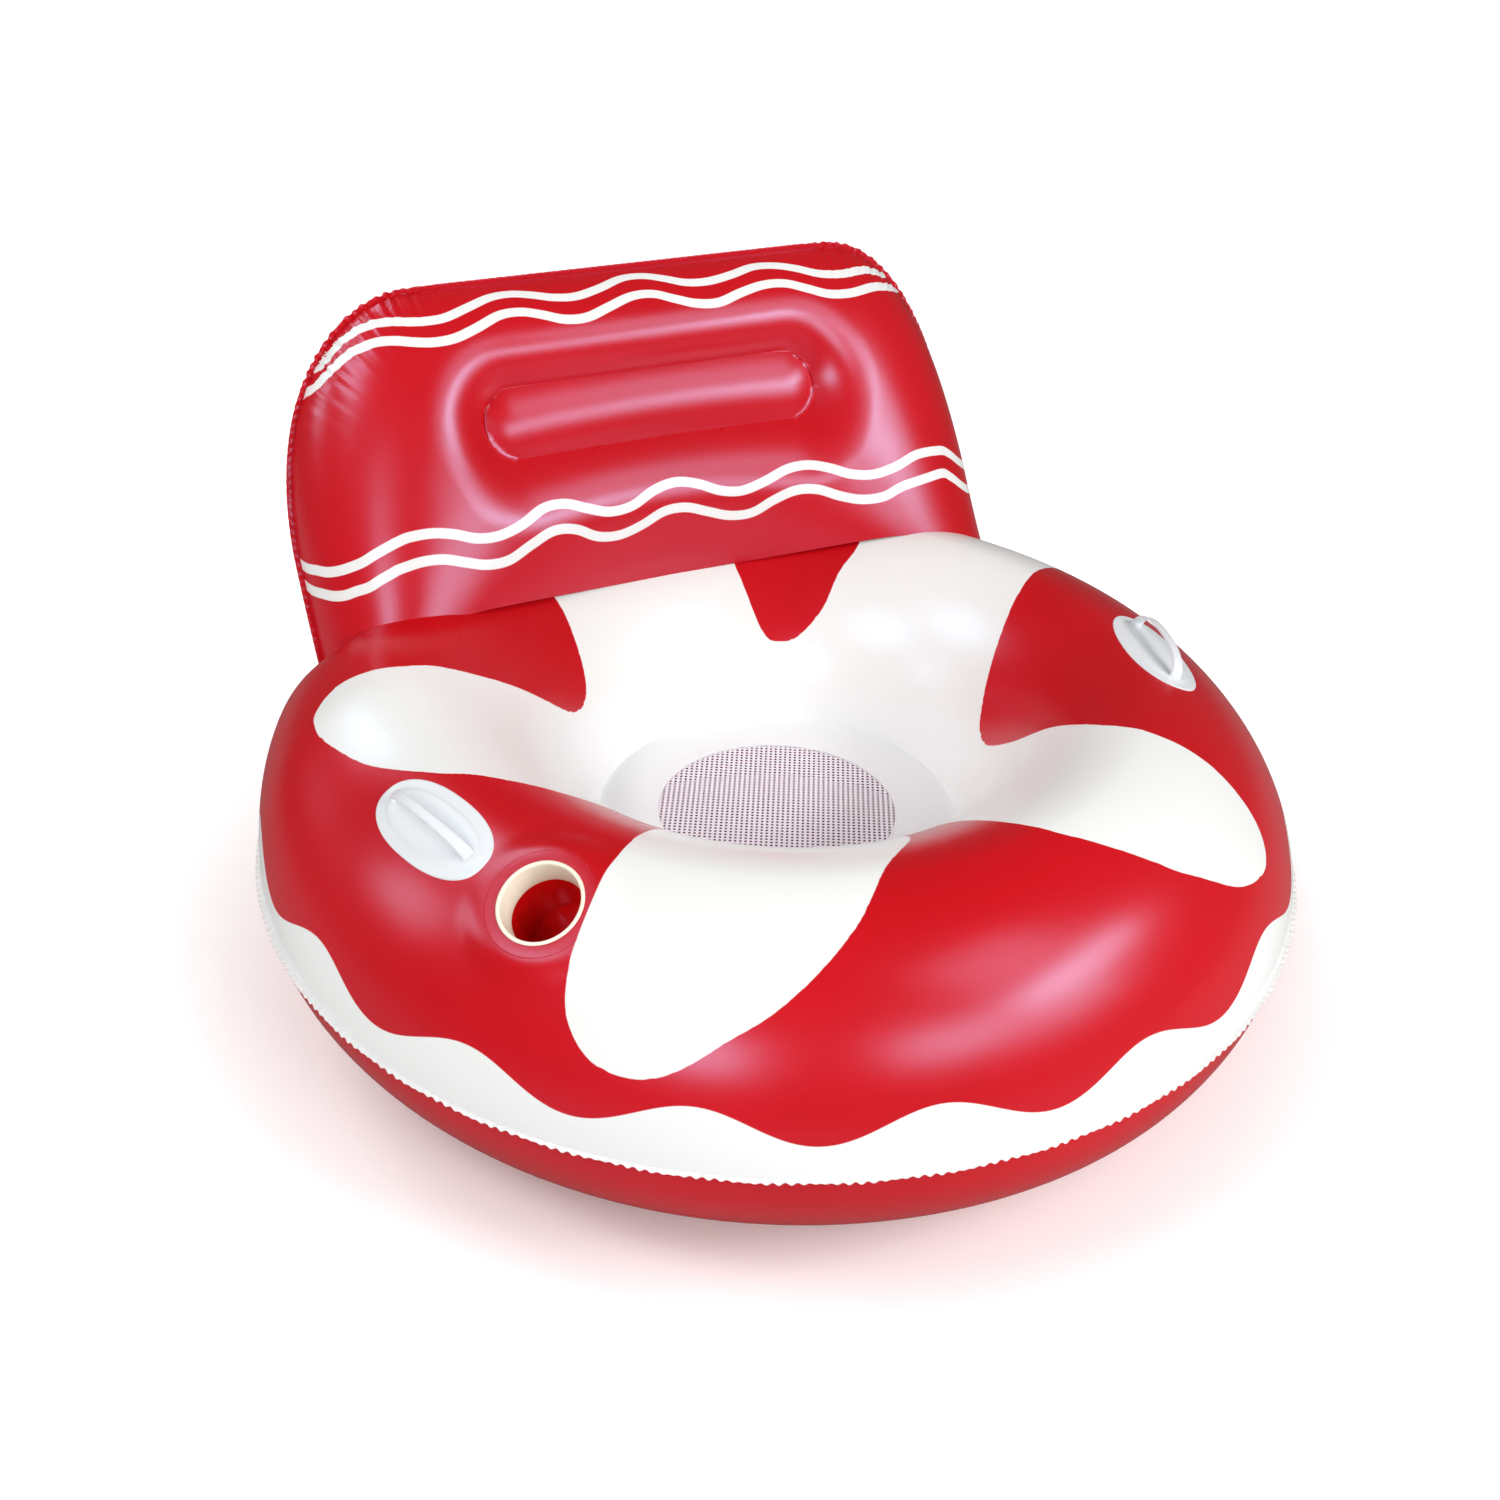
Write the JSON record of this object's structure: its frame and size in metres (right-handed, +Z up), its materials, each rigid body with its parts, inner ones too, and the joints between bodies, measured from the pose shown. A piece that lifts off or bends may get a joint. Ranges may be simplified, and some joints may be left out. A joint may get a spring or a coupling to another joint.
{
  "type": "inflatable pool chair",
  "caption": "Round inflatable pool chair: an air ring with a net seat, a padded backrest, two grab handles, a cup holder and push-in valves.",
  "frame": {"origin": "centre of the ring, on the flat band that the chair rests on", "axes": "+Z up, the chair faces -Y and the backrest stands at +Y, +X to the sitter's left"},
  "size_m": [1.1, 1.1, 0.638],
  "materials": {
    "printed_red_film": "glossy",
    "red_film": "glossy",
    "white_moulding": "satin",
    "white_net": "matte",
    "cream_collar": "glossy",
    "clear_valve": "glossy"
  },
  "bodies": {
    "root": {"ring_top_sheet": "printed_red_film", "ring_bottom_sheet": "red_film", "seat_border": "white_moulding", "seat_net": "white_net", "seat_net_backing": "white_moulding", "cup_collar": "cream_collar", "cup_well": "red_film", "cup_base": "red_film", "grab_handle_left": "white_moulding", "grab_handle_right": "white_moulding", "backrest_front_sheet": "printed_red_film", "backrest_rear_sheet": "red_film", "backrest_tie_web": "red_film", "ring_valve_flange": "clear_valve", "backrest_valve_flange": "clear_valve"},
    "ring_valve_stem": {"ring_valve_stem": "clear_valve"},
    "ring_valve_cap": {"ring_valve_cap": "clear_valve"},
    "ring_valve_flap": {"ring_valve_flap": "clear_valve"},
    "backrest_valve_stem": {"backrest_valve_stem": "clear_valve"},
    "backrest_valve_cap": {"backrest_valve_cap": "clear_valve"},
    "backrest_valve_flap": {"backrest_valve_flap": "clear_valve"}
  },
  "joints": [
    {"name": "ring_valve_pull", "type": "slide", "parent": "root", "child": "ring_valve_stem", "axis": [0.2086, 0.7784, 0.5921], "range_m": [0, 0.012]},
    {"name": "ring_valve_cap_hinge", "type": "hinge", "parent": "ring_valve_stem", "child": "ring_valve_cap", "pos_m": [0.14277, 0.48839, 0.26112], "axis": [0.1532, 0.5719, -0.8059], "range_deg": [0, 150]},
    {"name": "ring_valve_flap_hinge", "type": "hinge", "parent": "ring_valve_stem", "child": "ring_valve_flap", "pos_m": [0.13286, 0.47344, 0.24862], "axis": [-0.1532, -0.5719, 0.8059], "range_deg": [0, 60], "stiffness_Nm_per_rad": 0.0002},
    {"name": "backrest_valve_pull", "type": "slide", "parent": "root", "child": "backrest_valve_stem", "axis": [0.1772, 0.9155, -0.3612], "range_m": [0, 0.012]},
    {"name": "backrest_valve_cap_hinge", "type": "hinge", "parent": "backrest_valve_stem", "child": "backrest_valve_cap", "pos_m": [0.31202, 0.47973, 0.42852], "axis": [-0.0687, -0.3547, -0.9325], "range_deg": [0, 150]},
    {"name": "backrest_valve_flap_hinge", "type": "hinge", "parent": "backrest_valve_stem", "child": "backrest_valve_flap", "pos_m": [0.30268, 0.46149, 0.43614], "axis": [0.0687, 0.3547, 0.9325], "range_deg": [0, 60], "stiffness_Nm_per_rad": 0.0002}
  ]
}
